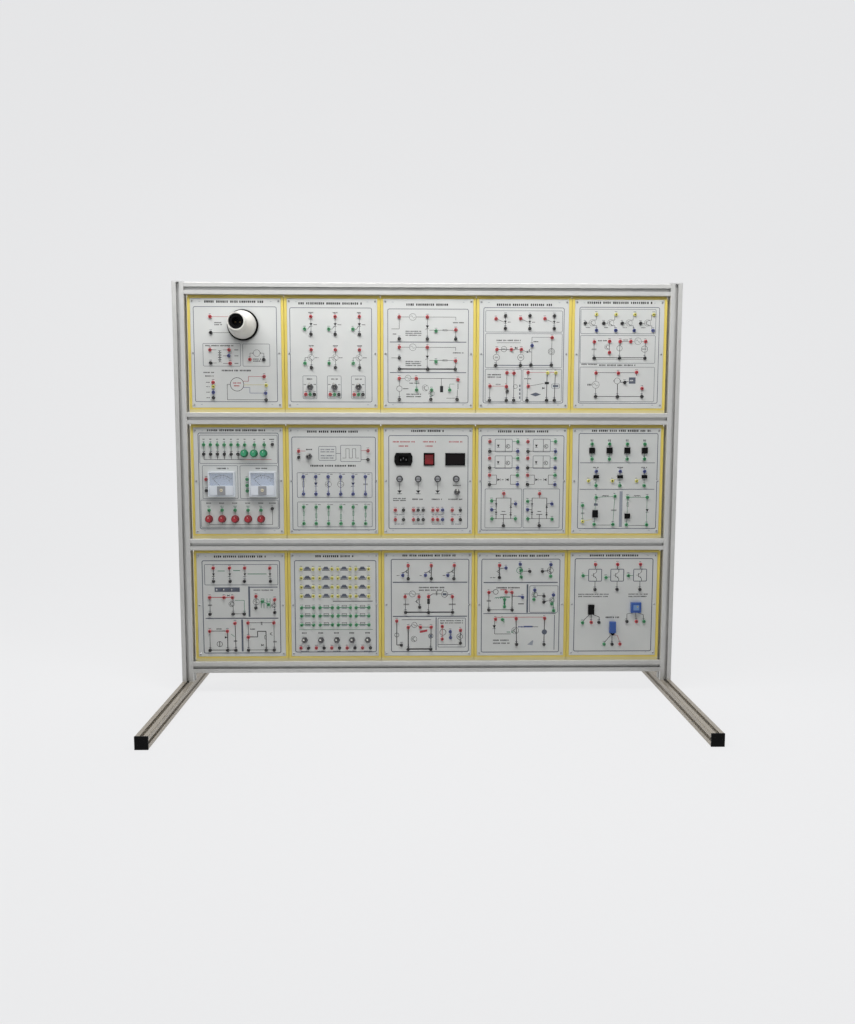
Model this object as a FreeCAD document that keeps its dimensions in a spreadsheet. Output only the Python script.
import FreeCAD, Part
import math
import os

import Sketcher

# A training stand: three rows of five electronics modules between slotted posts and rails.
# Frame: X to the right, the modules face -Y, Z up. The origin is on the floor under the middle.
# Lengths are in millimetres and angles in degrees.

COLUMNS = 5
ROWS = 3

DRIVING_SIZES = [
    # Slotted profile of the posts, rails and feet
    ("profile_side", 30.0, "side of the square profile"),
    ("profile_corner", 1.5, "corner radius of the profile"),
    ("slot_mouth", 8.2, "width of a slot at the surface"),
    ("slot_lip", 2.2, "thickness of the lips beside a slot"),
    ("slot_inner", 16.4, "width of a slot just under its lips"),
    ("slot_floor", 9.0, "width of a slot at its floor"),
    ("slot_depth", 9.0, "depth of a slot"),
    ("slot_shoulder", 5.0, "depth at which a slot narrows towards its floor"),
    ("core_bore", 6.8, "bore along the middle of the profile"),
    # Frame
    ("side_gap", 5.5, "gap from a post to the nearest tray"),
    ("floor_gap", 23.0, "gap from the feet's top to the bottom rail"),
    ("foot_reach", 400.0, "length of a foot in front of and behind its post"),
    ("foot_cap_thickness", 4.0, "plate of a foot's end cap"),
    ("post_cap_thickness", 3.0, "plate of a post's top cap"),
    ("cap_spigot_length", 12.0, "spigot of an end cap"),
    ("spigot_clearance", 0.15, "radial clearance of a spigot or bolt in the core bore"),
    ("bolt_head_diameter", 13.5, "head of a frame bolt"),
    ("bolt_head_height", 4.4, "height of a frame bolt's head"),
    ("bolt_head_rim", 1.8, "straight part of that head's side"),
    ("bolt_crown_diameter", 9.4, "flat top of that head"),
    ("bolt_reach", 22.0, "length of a frame bolt inside the member it pulls"),
    # Module trays
    ("tray_width", 243.0, "outer width of a tray"),
    ("tray_height", 291.0, "outer height of a tray"),
    ("tray_depth", 60.0, "outer depth of a tray"),
    ("tray_gap", 1.0, "gap between two trays"),
    ("lift_clearance", 4.0, "gap over a tray, for lifting it out"),
    ("face_recess", 9.0, "front plates lie this far behind the rails' front"),
    ("rim_side", 7.0, "thickness of a tray's side walls"),
    ("rim_top", 4.0, "thickness of a tray's top wall"),
    ("rim_bottom", 12.0, "thickness of a tray's bottom wall"),
    ("tray_back", 3.0, "thickness of a tray's back"),
    ("tongue_reach", 4.0, "how far a tray's tongue enters a rail's slot"),
    ("tongue_length", 241.0, "length of a tray's tongue"),
    ("tongue_clearance", 0.3, "gap on each side of a tongue in its slot"),
    ("boss_diameter", 9.0, "screw boss in a tray"),
    # Front plates and their screws
    ("plate_thickness", 3.0, "thickness of a front plate"),
    ("plate_clearance", 0.4, "gap round a front plate in its tray"),
    ("screw_inset", 5.2, "plate edge to screw axis, sideways"),
    ("screw_inset_end", 7.0, "plate edge to screw axis, at top and bottom"),
    ("screw_diameter", 2.9, "shank of a plate screw"),
    ("screw_length", 14.0, "shank length of a plate screw"),
    ("screw_head_diameter", 5.6, "head of a plate screw"),
    ("screw_head_height", 2.0, "height of a plate screw's head"),
    ("screw_head_rim", 0.8, "straight part of that head's side"),
    ("screw_crown_diameter", 3.4, "flat top of that head"),
    ("screw_tip", 0.7, "cone at a screw's end"),
    ("screw_clearance", 0.1, "radial clearance of a screw in its boss"),
    ("hole_clearance", 0.2, "radial clearance of a part in its plate hole"),
    # Test sockets
    ("socket_bore", 4.1, "bore for a 4 mm plug"),
    ("socket_bore_depth", 18.0, "depth of that bore"),
    ("socket_head_diameter", 8.4, "collar in front of the plate"),
    ("socket_head_height", 4.0, "height of the collar"),
    ("socket_chamfer", 0.7, "chamfer round the collar's front"),
    ("socket_shank_diameter", 6.4, "shank through the plate"),
    ("socket_shank_length", 22.0, "shank behind the plate"),
    # Circuit boards behind the sockets
    ("board_thickness", 1.6, "thickness of a board"),
    ("board_margin", 12.0, "plate edge to board edge"),
    # Potentiometers and knobs
    ("knob_diameter", 20.0, "skirt of a knob"),
    ("knob_height", 14.0, "height of a knob"),
    ("knob_gap", 1.0, "gap between a knob and the plate"),
    ("knob_flute", 1.5, "radius of a grip flute"),
    ("shaft_diameter", 6.0, "potentiometer shaft"),
    ("running_clearance", 0.1, "radial clearance of a moving part in its bearing"),
    ("pot_bushing_diameter", 9.4, "threaded bushing of a potentiometer"),
    ("pot_diameter", 24.0, "case of a potentiometer"),
    ("pot_depth", 13.0, "depth of that case"),
    ("pot_nut_width", 12.0, "across the flats of its nut"),
    ("pot_nut_height", 2.3, "thickness of its nut"),
    ("pot_bushing_reach", 2.6, "bushing in front of its nut"),
    ("pot_floor", 5.0, "case behind the shaft's bore"),
    ("shaft_end_gap", 0.3, "gap behind the shaft's end"),
    ("knob_skirt_height", 2.6, "straight part of a knob's skirt"),
    ("knob_skirt_slope", 0.8, "height of the slope from skirt to grip"),
    ("knob_grip_diameter", 17.2, "grip where it meets the skirt"),
    ("knob_draft", 0.4, "the grip's radius shrinks this much towards its top"),
    ("knob_crown_diameter", 14.8, "flat top of a knob"),
    ("knob_crown_chamfer", 0.8, "height of the chamfer round that top"),
    ("knob_top_thickness", 3.0, "knob in front of its shaft"),
    ("knob_nut_gap", 0.9, "gap between a knob's recess and the nut's corners"),
    ("knob_roof_gap", 0.6, "gap between a knob's recess and the bushing"),
    ("knob_flute_depth", 0.7, "depth of a grip flute"),
    # Toggle switches
    ("toggle_bushing_diameter", 11.6, "threaded bushing of a toggle switch"),
    ("toggle_bushing_height", 9.0, "bushing in front of the plate"),
    ("toggle_ball_diameter", 7.0, "ball that a lever turns on"),
    ("toggle_pivot_height", 4.0, "ball centre in front of the plate"),
    ("toggle_lever_length", 26.0, "ball centre to lever tip"),
    ("toggle_tip_diameter", 5.6, "lever at its tip"),
    ("toggle_root_diameter", 3.4, "lever at its ball"),
    ("toggle_tilt", 17.0, "lever angle from straight out, each way"),
    ("toggle_case_width", 15.0, "case of a toggle switch, sideways"),
    ("toggle_case_height", 27.0, "case of a toggle switch, upright"),
    ("toggle_case_depth", 16.0, "case of a toggle switch, behind the plate"),
    ("toggle_nut_width", 15.0, "across the flats of its nut"),
    ("toggle_nut_height", 2.5, "thickness of its nut"),
    ("toggle_bushing_wall", 0.9, "wall of the bushing at its mouth"),
    ("toggle_cone_depth", 3.0, "cone from the mouth down to the ball's seat"),
    ("toggle_well_depth", 5.0, "ball's seat ends this far behind the plate's front"),
    ("toggle_tip_face", 3.1, "flat end of a lever"),
    ("toggle_tip_round", 1.7, "height of the cone round that end"),
    ("toggle_tip_length", 4.5, "end of the lever's widest part, from its tip"),
    ("toggle_tail_diameter", 2.4, "lever behind its ball"),
    ("toggle_tail_length", 1.2, "how far that part reaches out of the ball"),
    # Fuse holders
    ("fuse_sleeve_diameter", 12.4, "sleeve of a fuse holder"),
    ("fuse_sleeve_depth", 22.0, "sleeve behind the plate's front"),
    ("fuse_bore", 10.4, "bore of a fuse holder"),
    ("fuse_flange_diameter", 17.0, "flange of a fuse holder"),
    ("fuse_flange_height", 1.5, "thickness of that flange"),
    ("fuse_cap_diameter", 14.4, "cap of a fuse holder"),
    ("fuse_cap_height", 7.2, "height of the cap"),
    ("fuse_cap_gap", 0.3, "gap between cap and flange"),
    ("fuse_diameter", 5.0, "glass fuse"),
    ("fuse_length", 20.0, "length of a glass fuse"),
    ("fuse_edge", 0.5, "chamfer round the flange"),
    ("fuse_sleeve_end", 2.0, "closed end of the sleeve"),
    ("fuse_ring_diameter", 18.0, "ring nut behind the plate"),
    ("fuse_ring_height", 2.5, "thickness of that ring nut"),
    ("fuse_end_gap", 0.5, "gap behind the fuse"),
    ("fuse_cap_edge", 0.7, "chamfer round the cap"),
    ("fuse_stem_end", 6.0, "cap's stem ends this far behind the plate's front"),
    ("fuse_slot_length", 8.9, "screwdriver slot in the cap"),
    ("fuse_slot_width", 1.6, "screwdriver slot in the cap"),
    ("fuse_slot_depth", 1.2, "screwdriver slot in the cap"),
    # Rocker switch
    ("rocker_bezel_width", 28.0, "bezel of the rocker switch"),
    ("rocker_bezel_height", 33.0, "bezel of the rocker switch"),
    ("rocker_bezel_thickness", 2.0, "bezel in front of the plate"),
    ("rocker_depth", 17.0, "switch body behind the plate's front"),
    ("rocker_wall", 1.4, "wall of the switch body"),
    ("rocker_frame_step", 1.8, "bezel overhang round the body"),
    ("rocker_side_gap", 0.3, "gap beside the rocker button"),
    ("rocker_end_gap", 1.45, "gap over and under the rocker button"),
    ("rocker_pivot_depth", 3.0, "pivot behind the plate's front"),
    ("rocker_pin_diameter", 2.8, "pivot pin of the rocker button"),
    ("rocker_tilt", 8.0, "rocker angle each way"),
    ("rocker_floor", 2.0, "closed back of the switch body"),
    ("rocker_proud", 5.0, "button's ends in front of the plate"),
    ("rocker_valley", 2.8, "button's middle in front of the plate"),
    ("rocker_tail_edge", 1.0, "button's ends behind its pivot"),
    ("rocker_tail_depth", 4.0, "button's middle behind its pivot"),
    ("rocker_tail_height", 8.7, "flat back of the button"),
    ("rocker_pin_reach", 0.8, "pivot pin in the body's wall, each side"),
    # Mains inlet
    ("inlet_width", 47.0, "flange of the mains inlet"),
    ("inlet_height", 33.0, "flange of the mains inlet"),
    ("inlet_flange", 2.5, "thickness of that flange"),
    ("inlet_body_width", 28.0, "body through the plate"),
    ("inlet_body_height", 21.0, "body through the plate"),
    ("inlet_depth", 20.0, "body behind the plate's front"),
    ("inlet_cavity_width", 24.4, "recess that takes the mains connector"),
    ("inlet_cavity_height", 17.4, "recess that takes the mains connector"),
    ("inlet_floor", 3.0, "floor of that recess"),
    ("inlet_pin_length", 14.0, "length of a contact blade"),
    ("inlet_pin_width", 2.0, "width of a contact blade"),
    ("inlet_pin_height", 4.0, "height of a contact blade"),
    ("inlet_pin_pitch", 7.0, "outer blades from the middle"),
    ("inlet_pin_offset", 2.0, "blades above and below the middle"),
    ("inlet_screw_pitch", 40.0, "distance between its two screws"),
    ("inlet_side_height", 13.0, "straight side of the flange, left and right"),
    ("inlet_top_width", 38.0, "straight side of the flange, top and bottom"),
    # Digital display
    ("display_width", 51.0, "bezel of the digital display"),
    ("display_height", 32.0, "bezel of the digital display"),
    ("display_bezel", 2.4, "bezel in front of the plate"),
    ("display_step", 1.7, "bezel overhang round the body"),
    ("display_depth", 18.0, "body behind the plate's front"),
    ("display_border", 3.5, "bezel round the window"),
    ("display_window_thickness", 1.4, "thickness of the window"),
    ("display_window_inset", 0.4, "window behind the bezel's front"),
    # Analogue meters
    ("meter_width", 68.0, "case of an analogue meter"),
    ("meter_height", 64.0, "case of an analogue meter"),
    ("meter_front", 13.0, "case in front of the plate"),
    ("meter_wall", 3.0, "wall of the case"),
    ("meter_ledge", 1.2, "ledge that carries the window"),
    ("meter_window_thickness", 2.0, "thickness of the window"),
    ("meter_barrel_diameter", 52.0, "barrel behind the case"),
    ("meter_barrel_depth", 16.0, "barrel behind the plate's front"),
    ("meter_barrel_end", 2.0, "closed end of the barrel"),
    ("meter_dial_hole", 4.0, "hole in the dial for the needle's spindle"),
    ("meter_dial_thickness", 0.8, "thickness of the dial"),
    ("meter_pivot_drop", 10.0, "needle pivot below the case's middle"),
    ("needle_length", 30.0, "needle from its pivot"),
    ("needle_width", 1.0, "needle at its root"),
    ("needle_thickness", 0.5, "thickness of the needle"),
    ("needle_gap", 1.0, "gap between needle and dial"),
    ("needle_angle", 45.0, "needle at rest, to the left of upright"),
    ("spindle_diameter", 1.2, "spindle of the needle"),
    ("spindle_inset", 0.6, "spindle's end inside the barrel's back"),
    ("needle_hub_diameter", 2.4, "hub of the needle"),
    ("needle_hub_height", 1.0, "hub in front of the needle"),
    ("needle_tail", 6.0, "needle behind its pivot"),
    ("needle_tip_width", 0.4, "needle at its tip"),
    ("coil_side", 9.0, "moving coil, each way"),
    ("coil_depth", 7.0, "moving coil along the spindle"),
    ("coil_back", 9.0, "moving coil ends this far behind the plate's front"),
    ("window_clearance", 0.2, "gap round a window"),
    # Lamp holder
    ("lamp_base_diameter", 78.0, "base disc of the lamp holder"),
    ("lamp_base_height", 8.0, "thickness of that disc"),
    ("lamp_base_chamfer", 1.5, "chamfer round that disc"),
    ("lamp_column_diameter", 36.8, "column that holds the lamp cap"),
    ("lamp_column_height", 88.0, "top of that column"),
    ("lamp_bore", 22.6, "bore for a 22 mm lamp cap"),
    ("lamp_bore_depth", 18.0, "depth of that bore"),
    ("lamp_shell_foot", 70.0, "outer diameter of the shell at its foot"),
    ("lamp_shell_mouth", 43.0, "outer diameter of the shell's collar"),
    ("lamp_shell_shoulder", 56.0, "height where the dome meets the collar"),
    ("lamp_shell_height", 94.0, "top of the shell"),
    ("lamp_shell_wall", 2.6, "wall of the shell"),
    ("lamp_dome_radius", 78.0, "radius of the dome's section"),
    ("plunger_diameter", 4.0, "spring contact of the lamp holder"),
    ("plunger_pitch", 11.0, "distance between the two contacts"),
    ("plunger_chamfer", 0.6, "chamfer round a contact's tip"),
    ("plunger_height", 5.0, "contact above the floor of its well"),
    ("lamp_well_diameter", 17.6, "well at the bore's end that holds the contacts"),
    ("lamp_well_margin", 0.4, "contacts lie this far under the bore's end"),
    # Panel devices and the transformer
    ("device_height", 5.0, "front-mounted device, out from the plate"),
    ("device_chamfer", 0.8, "chamfer round such a device"),
    ("sensor_height", 9.0, "front-mounted sensor, out from the plate"),
    ("toroid_diameter", 50.0, "supply transformer"),
    ("toroid_bore", 20.0, "bore of the transformer"),
    ("toroid_height", 22.0, "height of the transformer"),
    ("toroid_clamp_diameter", 30.0, "clamp disc of the transformer"),
    ("toroid_clamp_thickness", 2.0, "thickness of that disc"),
    ("toroid_bolt_diameter", 6.0, "bolt of the transformer"),
    ("toroid_bore_chamfer", 3.0, "chamfer round the winding's bore"),
    ("toroid_rim_chamfer", 4.0, "chamfer round the winding's rim"),
    ("toroid_head_diameter", 9.6, "head of that bolt"),
    ("toroid_head_height", 2.0, "height of that head"),
    ("cut_margin", 1.0, "how far a cutter starts outside what it cuts"),
]

DERIVED_SIZES = [
    ("trays_width", "=%d * tray_width + %d * tray_gap" % (COLUMNS, COLUMNS - 1), "a row of trays"),
    ("clear_width", "=trays_width + 2 * side_gap", "between the posts"),
    ("column_pitch", "=tray_width + tray_gap", "tray to tray"),
    ("opening_height", "=tray_height + lift_clearance", "between two rails"),
    ("rail_pitch", "=opening_height + profile_side", "rail to rail"),
    ("post_x", "=clear_width / 2 + profile_side / 2", "post axis from the middle"),
    ("bottom_rail_z", "=1.5 * profile_side + floor_gap", "height of the bottom rail's axis"),
    ("top_rail_z", "=bottom_rail_z + %d * rail_pitch" % ROWS, "height of the top rail's axis"),
    ("post_length", "=top_rail_z - profile_side / 2", "from the foot to the top rail's top"),
    ("face_y", "=face_recess - profile_side / 2", "front of the front plates"),
    ("plate_width", "=tray_width - 2 * rim_side - 2 * plate_clearance", "front plate"),
    ("plate_height", "=tray_height - rim_top - rim_bottom - 2 * plate_clearance", "front plate"),
    ("plate_left", "=rim_side + plate_clearance", "tray edge to plate edge"),
    ("plate_top", "=rim_top + plate_clearance", "tray top to plate top"),
    ("board_front", "=plate_thickness + socket_shank_length", "board behind the plate's front"),
    ("rocker_inner_width", "=rocker_bezel_width - 2 * rocker_frame_step - 2 * rocker_wall", "cavity"),
    ("rocker_inner_height", "=rocker_bezel_height - 2 * rocker_frame_step - 2 * rocker_wall", "cavity"),
]

# Each printed panel is laid out on a grid of this size, from its top left corner.
# The grid grows and shrinks with the plate.
LAYOUT_WIDTH = 227.0
LAYOUT_HEIGHT = 275.0

doc = FreeCAD.newDocument("trainer")
sheet = doc.addObject("Spreadsheet::Sheet", "dims")


def fill_sheet():
    """Write every size into the sheet, one to a row, with its alias and its note."""
    row = 1
    for name, number, note in DRIVING_SIZES:
        sheet.set("A%d" % row, name)
        sheet.set("B%d" % row, repr(number))
        sheet.set("C%d" % row, note)
        sheet.setAlias("B%d" % row, name)
        row += 1
    for name, formula, note in DERIVED_SIZES:
        sheet.set("A%d" % row, name)
        sheet.set("B%d" % row, formula)
        sheet.set("C%d" % row, note)
        sheet.setAlias("B%d" % row, name)
        row += 1
    doc.recompute()


class Size:
    """A length with its number and the formula that ties it to the sheet."""

    def __init__(self, number, formula):
        self.number = float(number)
        self.formula = formula

    @staticmethod
    def of(value):
        if isinstance(value, Size):
            return value
        return Size(value, "(%r)" % float(value))

    def joined(self, other, sign, number):
        return Size(number, "(%s %s %s)" % (self.formula, sign, other.formula))

    def __add__(self, other):
        other = Size.of(other)
        return self.joined(other, "+", self.number + other.number)

    def __sub__(self, other):
        other = Size.of(other)
        return self.joined(other, "-", self.number - other.number)

    def __mul__(self, other):
        other = Size.of(other)
        return self.joined(other, "*", self.number * other.number)

    def __truediv__(self, other):
        other = Size.of(other)
        return self.joined(other, "/", self.number / other.number)

    def __radd__(self, other):
        return Size.of(other) + self

    def __rsub__(self, other):
        return Size.of(other) - self

    def __rmul__(self, other):
        return Size.of(other) * self

    def __neg__(self):
        return Size.of(0) - self

    def __float__(self):
        return self.number


class Sizes:
    """Every alias of the sheet as an attribute."""

    def __getattr__(self, name):
        return Size(sheet.get(name), "dims." + name)


size = Sizes()


# Sketches and features

def vector(x, y, z=0.0):
    return FreeCAD.Vector(float(x), float(y), float(z))


def drive(thing, path, value):
    """Tie one property of a thing to the sheet."""
    thing.setExpression(path, Size.of(value).formula)


def new_body(label):
    body = doc.addObject("PartDesign::Body", label)
    body.Label = label
    return body


def new_sketch(body, role, offset=None):
    """A sketch on one of the body's own origin planes, moved along the plane's normal."""
    sketch = body.newObject("Sketcher::SketchObject", "sketch")
    plane = [item for item in body.Origin.OriginFeatures if item.Role == role][0]
    sketch.AttachmentSupport = [(plane, "")]
    sketch.MapMode = "FlatFace"
    if offset is not None:
        drive(sketch, "AttachmentOffset.Base.z", offset)
    return sketch


def fix_point(sketch, geometry, end, x, y):
    """Hold one point of a sketch at sheet-driven coordinates."""
    for kind, value in (("DistanceX", Size.of(x)), ("DistanceY", Size.of(y))):
        index = sketch.addConstraint(Sketcher.Constraint(kind, -1, 1, geometry, end, value.number))
        sketch.setExpression("Constraints[%d]" % index, value.formula)


def add_outline(sketch, points):
    """A closed outline of straight lines through the points."""
    first = sketch.GeometryCount
    count = len(points)
    for index in range(count):
        start = vector(*points[index])
        end = vector(*points[(index + 1) % count])
        sketch.addGeometry(Part.LineSegment(start, end), False)
    for index in range(count):
        after = first + (index + 1) % count
        sketch.addConstraint(Sketcher.Constraint("Coincident", first + index, 2, after, 1))
    for index in range(count):
        fix_point(sketch, first + index, 1, *points[index])


def add_rectangle(sketch, width, height, x=0.0, y=0.0):
    """A rectangle about a middle point."""
    x, y = Size.of(x), Size.of(y)
    left, right = x - width / 2, x + width / 2
    low, high = y - height / 2, y + height / 2
    add_outline(sketch, [(left, low), (right, low), (right, high), (left, high)])


def add_circle(sketch, diameter, x=0.0, y=0.0):
    """A circle about a middle point."""
    radius = Size.of(diameter) / 2
    circle = Part.Circle(vector(x, y), vector(0, 0, 1), radius.number)
    geometry = sketch.addGeometry(circle, False)
    index = sketch.addConstraint(Sketcher.Constraint("Radius", geometry, radius.number))
    sketch.setExpression("Constraints[%d]" % index, radius.formula)
    fix_point(sketch, geometry, 3, x, y)


def add_pad(body, sketch, length, side="One side", back=False):
    pad = body.newObject("PartDesign::Pad", "pad")
    pad.Profile = sketch
    pad.SideType = side
    pad.Reversed = back
    drive(pad, "Length", length)
    doc.recompute()
    return pad


def add_pocket(body, sketch, depth=None, side="One side", towards_normal=False):
    """A pocket of one depth, or through everything, that must remove material."""
    before = body.Shape.Volume
    pocket = body.newObject("PartDesign::Pocket", "pocket")
    pocket.Profile = sketch
    pocket.SideType = side
    pocket.Reversed = towards_normal
    if depth is None:
        pocket.Type = "ThroughAll"
    else:
        drive(pocket, "Length", depth)
    doc.recompute()
    if body.Shape.Volume > before - 1e-6:
        raise RuntimeError("a pocket in %s removed nothing" % body.Label)
    return pocket


def add_polar(body, feature, sketch, axis, count):
    """Repeat a feature about an axis of its sketch."""
    pattern = body.newObject("PartDesign::PolarPattern", "pattern")
    pattern.Originals = [feature]
    pattern.Axis = (sketch, [axis])
    pattern.Angle = 360
    pattern.Occurrences = count
    body.Tip = pattern
    doc.recompute()
    return pattern


def turned(label, points):
    """A body turned about the Y axis from an outline of radius and Y."""
    body = new_body(label)
    sketch = new_sketch(body, "XY_Plane")
    add_outline(sketch, points)
    add_revolution(body, sketch)
    return body


def add_revolution(body, sketch):
    revolution = body.newObject("PartDesign::Revolution", "revolution")
    revolution.Profile = sketch
    revolution.ReferenceAxis = (sketch, ["V_Axis"])
    revolution.Angle = 360
    doc.recompute()
    return revolution


def face_pad(label, width, height, front, back, x=0.0, z=0.0):
    """A block in a panel's own frame, from Y = front to Y = back."""
    body = new_body(label)
    sketch = new_sketch(body, "XZ_Plane", -Size.of(back))
    add_rectangle(sketch, width, height, x, z)
    add_pad(body, sketch, Size.of(back) - front)
    return body


def front_pocket(body, width, height, front, depth, x=0.0, z=0.0):
    """A rectangular pocket cut from Y = front towards +Y."""
    sketch = new_sketch(body, "XZ_Plane", -Size.of(front))
    add_rectangle(sketch, width, height, x, z)
    return add_pocket(body, sketch, depth)


def front_bore(body, diameter, front, depth, x=0.0, z=0.0):
    """A round pocket cut from Y = front towards +Y."""
    sketch = new_sketch(body, "XZ_Plane", -Size.of(front))
    add_circle(sketch, diameter, x, z)
    return add_pocket(body, sketch, depth)


# Nodes

NODES = []


def keep(label, thing):
    """Name a thing and list it as a sub-part to be written."""
    thing.Label = label
    NODES.append(thing)
    return thing


def place(thing, x=0.0, y=0.0, z=0.0):
    drive(thing, "Placement.Base.x", x)
    drive(thing, "Placement.Base.y", y)
    drive(thing, "Placement.Base.z", z)


def group(label, things, x=0.0, y=0.0, z=0.0):
    """A sub-part made of one or more finished pieces, set at a place."""
    compound = doc.addObject("Part::Compound", label)
    compound.Links = things
    place(compound, x, y, z)
    return keep(label, compound)


def copies(label, piece, places):
    """One sub-part of many equal pieces, each moved to its place."""
    solids = []
    for point in places:
        for solid in piece.Shape.Solids:
            moved = solid.copy()
            moved.translate(point)
            solids.append(moved)
    return loose_solids(label, solids)


def loose_solids(label, solids):
    feature = doc.addObject("Part::Feature", label)
    feature.Shape = Part.makeCompound(solids)
    return keep(label, feature)


def panel_corner(row, column):
    """Top left corner of a front plate. Row 0 is the top row."""
    left = (column - (COLUMNS - 1) / 2) * size.column_pitch - size.tray_width / 2
    seat = size.bottom_rail_z + size.profile_side / 2 + (ROWS - 1 - row) * size.rail_pitch
    return left + size.plate_left, seat + size.tray_height - size.plate_top


def panel_spot(row, column, x, y, right=0.0, up=0.0):
    """X and Z of a grid point of a panel, and a fixed distance from it."""
    left, top = panel_corner(row, column)
    return (left + size.plate_width * (x / LAYOUT_WIDTH) + right,
            top - size.plate_height * (y / LAYOUT_HEIGHT) + up)


def panel_vector(row, column, x, y, right=0.0, up=0.0):
    along, height = panel_spot(row, column, x, y, right, up)
    return vector(along, size.face_y, height)


# Frame of slotted profile

def slot_outline():
    """One slot of the profile, in its upper side."""
    half = size.profile_side / 2
    under_lip = half - size.slot_lip
    shoulder = half - size.slot_shoulder
    floor = half - size.slot_depth
    right = [
        (size.slot_mouth / 2, half + size.cut_margin),
        (size.slot_mouth / 2, under_lip),
        (size.slot_inner / 2, under_lip),
        (size.slot_inner / 2, shoulder),
        (size.slot_floor / 2, floor),
    ]
    return right + [(-x, y) for x, y in reversed(right)]


def profile_bar(label, role, length, side):
    """A length of slotted profile along the normal of one origin plane."""
    body = new_body(label)
    square = new_sketch(body, role)
    add_rectangle(square, size.profile_side, size.profile_side)
    pad = add_pad(body, square, length, side)
    long_edges = []
    for index, edge in enumerate(body.Shape.Edges):
        if edge.Length > 2 * float(size.profile_side):
            long_edges.append("Edge%d" % (index + 1))
    fillet = body.newObject("PartDesign::Fillet", "corners")
    fillet.Base = (pad, long_edges)
    drive(fillet, "Radius", size.profile_corner)
    doc.recompute()
    core = new_sketch(body, role)
    add_circle(core, size.core_bore)
    add_pocket(body, core, side="Symmetric")
    slot = new_sketch(body, role)
    add_outline(slot, slot_outline())
    pocket = add_pocket(body, slot, side="Symmetric")
    add_polar(body, pocket, slot, "N_Axis", 4)
    return body


def make_frame():
    """Two feet, two posts on them and four rails between the posts."""
    foot_length = size.profile_side + 2 * size.foot_reach
    for label, sign in (("foot_left", -1), ("foot_right", 1)):
        foot = profile_bar(label, "XZ_Plane", foot_length, "Symmetric")
        place(foot, sign * size.post_x, 0, size.profile_side / 2)
        keep(label, foot)
    for label, sign in (("post_left", -1), ("post_right", 1)):
        post = profile_bar(label, "XY_Plane", size.post_length, "One side")
        place(post, sign * size.post_x, 0, size.profile_side)
        keep(label, post)
    names = ("rail_bottom", "rail_lower_middle", "rail_upper_middle", "rail_top")
    for index, label in enumerate(names):
        rail = profile_bar(label, "YZ_Plane", size.clear_width, "Symmetric")
        place(rail, 0, 0, size.bottom_rail_z + index * size.rail_pitch)
        keep(label, rail)


def end_cap(label, thickness):
    """A square cap whose spigot points along +Y, with its plate in front of Y = 0."""
    cap = face_pad(label, size.profile_side, size.profile_side, -thickness, 0)
    spigot = new_sketch(cap, "XZ_Plane")
    add_circle(spigot, size.core_bore - 2 * size.spigot_clearance)
    add_pad(cap, spigot, size.cap_spigot_length, back=True)
    return cap


def turned_shape(piece, axis, angle, point):
    """The shape of a piece, turned about an axis through the origin and then moved."""
    shape = piece.Shape.copy()
    shape.rotate(vector(0, 0, 0), axis, angle)
    shape.translate(point)
    return shape.Solids[0]


def make_frame_hardware():
    """End caps, and the bolts that pull the rails to the posts and the posts to the feet."""
    side_to_side = (-size.post_x, size.post_x)
    foot_cap = end_cap("foot_cap", size.foot_cap_thickness)
    end = size.profile_side / 2 + size.foot_reach
    solids = []
    for x in side_to_side:
        middle = size.profile_side / 2
        solids.append(turned_shape(foot_cap, vector(0, 0, 1), 0, vector(x, -end, middle)))
        solids.append(turned_shape(foot_cap, vector(0, 0, 1), 180, vector(x, end, middle)))
    loose_solids("foot_end_caps", solids)

    post_cap = end_cap("post_cap", size.post_cap_thickness)
    top = size.profile_side + size.post_length
    solids = [turned_shape(post_cap, vector(1, 0, 0), -90, vector(x, 0, top)) for x in side_to_side]
    loose_solids("post_top_caps", solids)

    # The bolt's head is held under the lips of a slot, and its shank points along -Y.
    shank = size.core_bore / 2 - size.spigot_clearance
    head = size.bolt_head_diameter / 2
    bolt = turned("frame_bolt", [
        (0, -size.slot_lip - size.bolt_reach),
        (shank, -size.slot_lip - size.bolt_reach),
        (shank, 0),
        (head, 0),
        (head, size.bolt_head_rim),
        (size.bolt_crown_diameter / 2, size.bolt_head_height),
        (0, size.bolt_head_height),
    ])
    solids = []
    inner = size.clear_width / 2 + size.slot_lip
    for index in range(ROWS + 1):
        z = size.bottom_rail_z + index * size.rail_pitch
        solids.append(turned_shape(bolt, vector(0, 0, 1), 90, vector(-inner, 0, z)))
        solids.append(turned_shape(bolt, vector(0, 0, 1), -90, vector(inner, 0, z)))
    for x in side_to_side:
        z = size.profile_side - size.slot_lip
        solids.append(turned_shape(bolt, vector(1, 0, 0), -90, vector(x, 0, z)))
    loose_solids("frame_bolts", solids)


# Module trays, front plates, screws and boards

def screw_spots():
    """X and Z of the six screws of a plate, from the plate's top left corner."""
    left, right = size.screw_inset, size.plate_width - size.screw_inset
    top, bottom = -size.screw_inset_end, size.screw_inset_end - size.plate_height
    middle = -size.plate_height / 2
    return [(x, z) for x in (left, right) for z in (top, middle, bottom)]


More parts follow.
